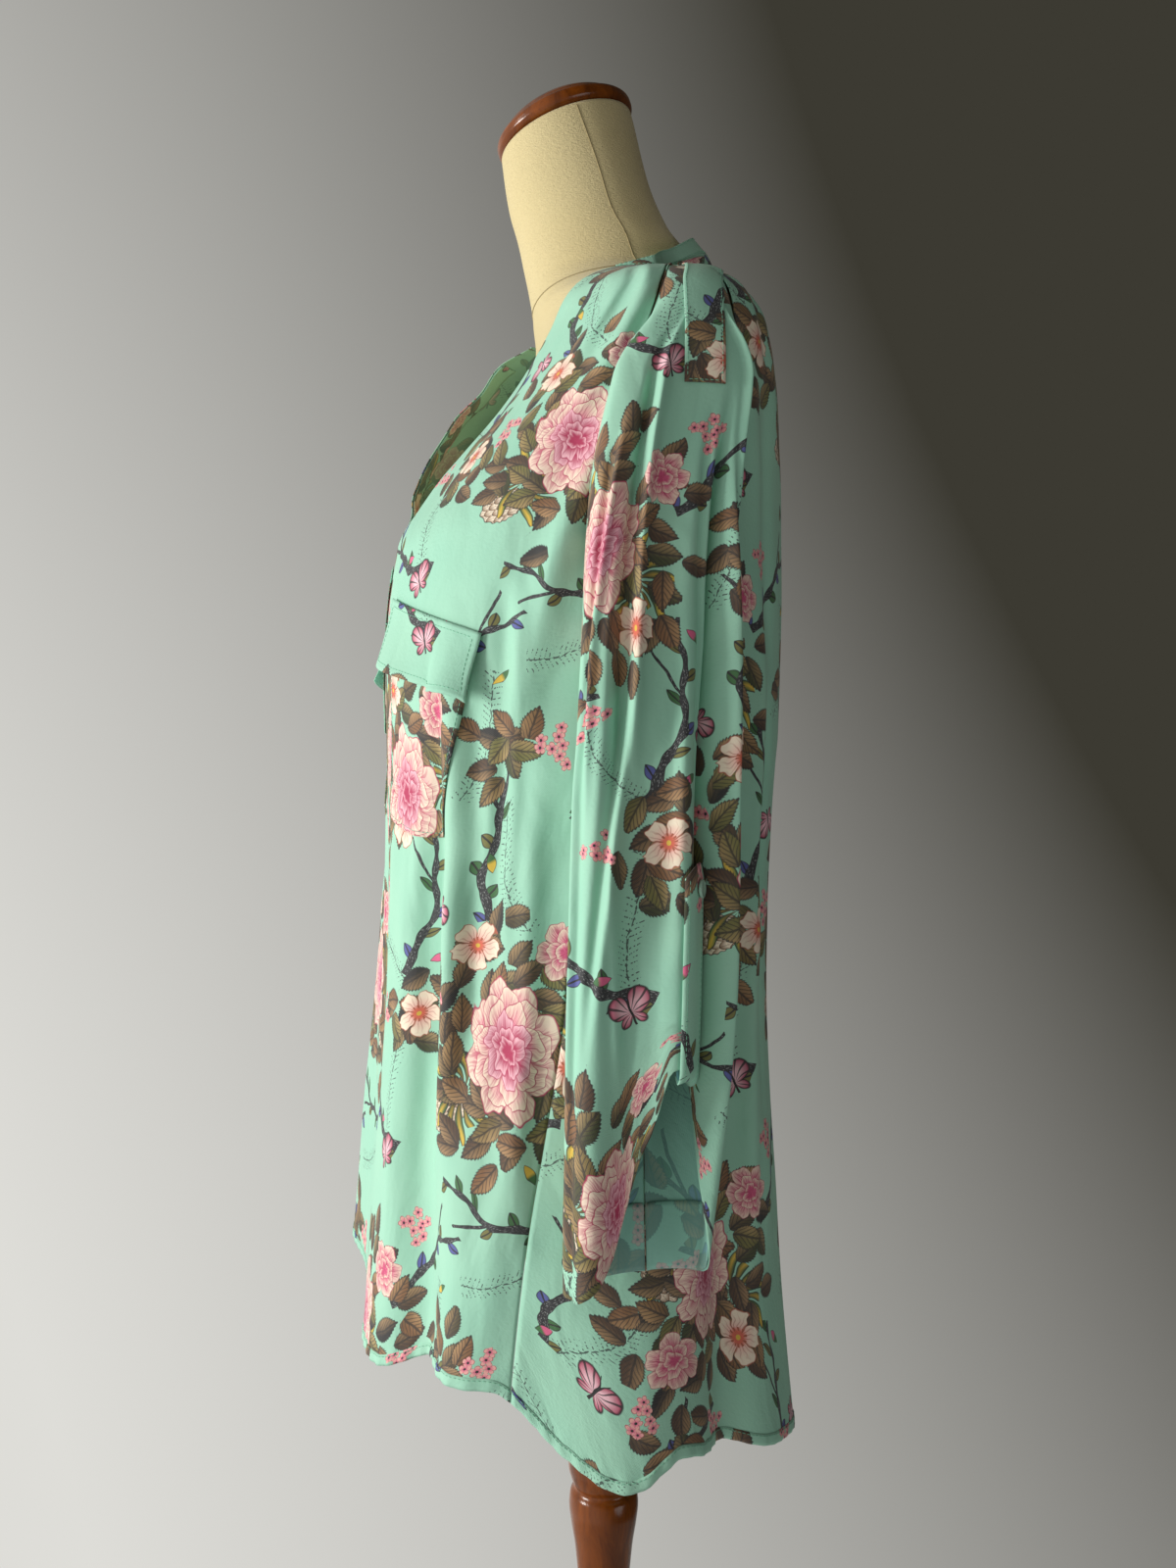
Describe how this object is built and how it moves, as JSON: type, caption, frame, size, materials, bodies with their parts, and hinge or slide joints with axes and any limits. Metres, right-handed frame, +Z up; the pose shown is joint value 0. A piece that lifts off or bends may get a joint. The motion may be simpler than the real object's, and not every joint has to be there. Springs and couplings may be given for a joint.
{
  "type": "printed tunic blouse on a dress form",
  "caption": "Loose printed tunic blouse with a V neck, roll-tab sleeves, chest pockets and a dipped back hem, worn by a limbless dress form on a turned wooden stand.",
  "frame": {"origin": "On the floor, at the middle of the round foot's underside, under the middle of the form.", "axes": "+Z up; -Y is the front of the blouse; +X is the wearer's left."},
  "size_m": [0.5028, 0.4, 1.5674],
  "materials": {
    "printed_cloth": "matte printed viscose, mint ground with flowers",
    "form_cloth": "matte cream cotton jersey",
    "turned_wood": "glossy reddish brown varnish",
    "button_shell": "pale pearly gloss"
  },
  "bodies": {
    "root": {"front": "printed_cloth", "back": "printed_cloth", "sleeve_left": "printed_cloth", "sleeve_right": "printed_cloth", "pocket_left": "printed_cloth", "pocket_right": "printed_cloth", "pocket_flap_left": "printed_cloth", "pocket_flap_right": "printed_cloth", "placket": "printed_cloth", "neck_facing_left": "printed_cloth", "neck_facing_right": "printed_cloth", "collar_band": "printed_cloth", "shoulder_strip_left": "printed_cloth", "shoulder_strip_right": "printed_cloth", "sleeve_tab_left": "printed_cloth", "sleeve_tab_right": "printed_cloth", "tab_button_left": "button_shell", "tab_button_right": "button_shell", "form": "form_cloth", "neck_cap": "turned_wood", "post": "turned_wood", "foot": "turned_wood"}
  },
  "joints": []
}
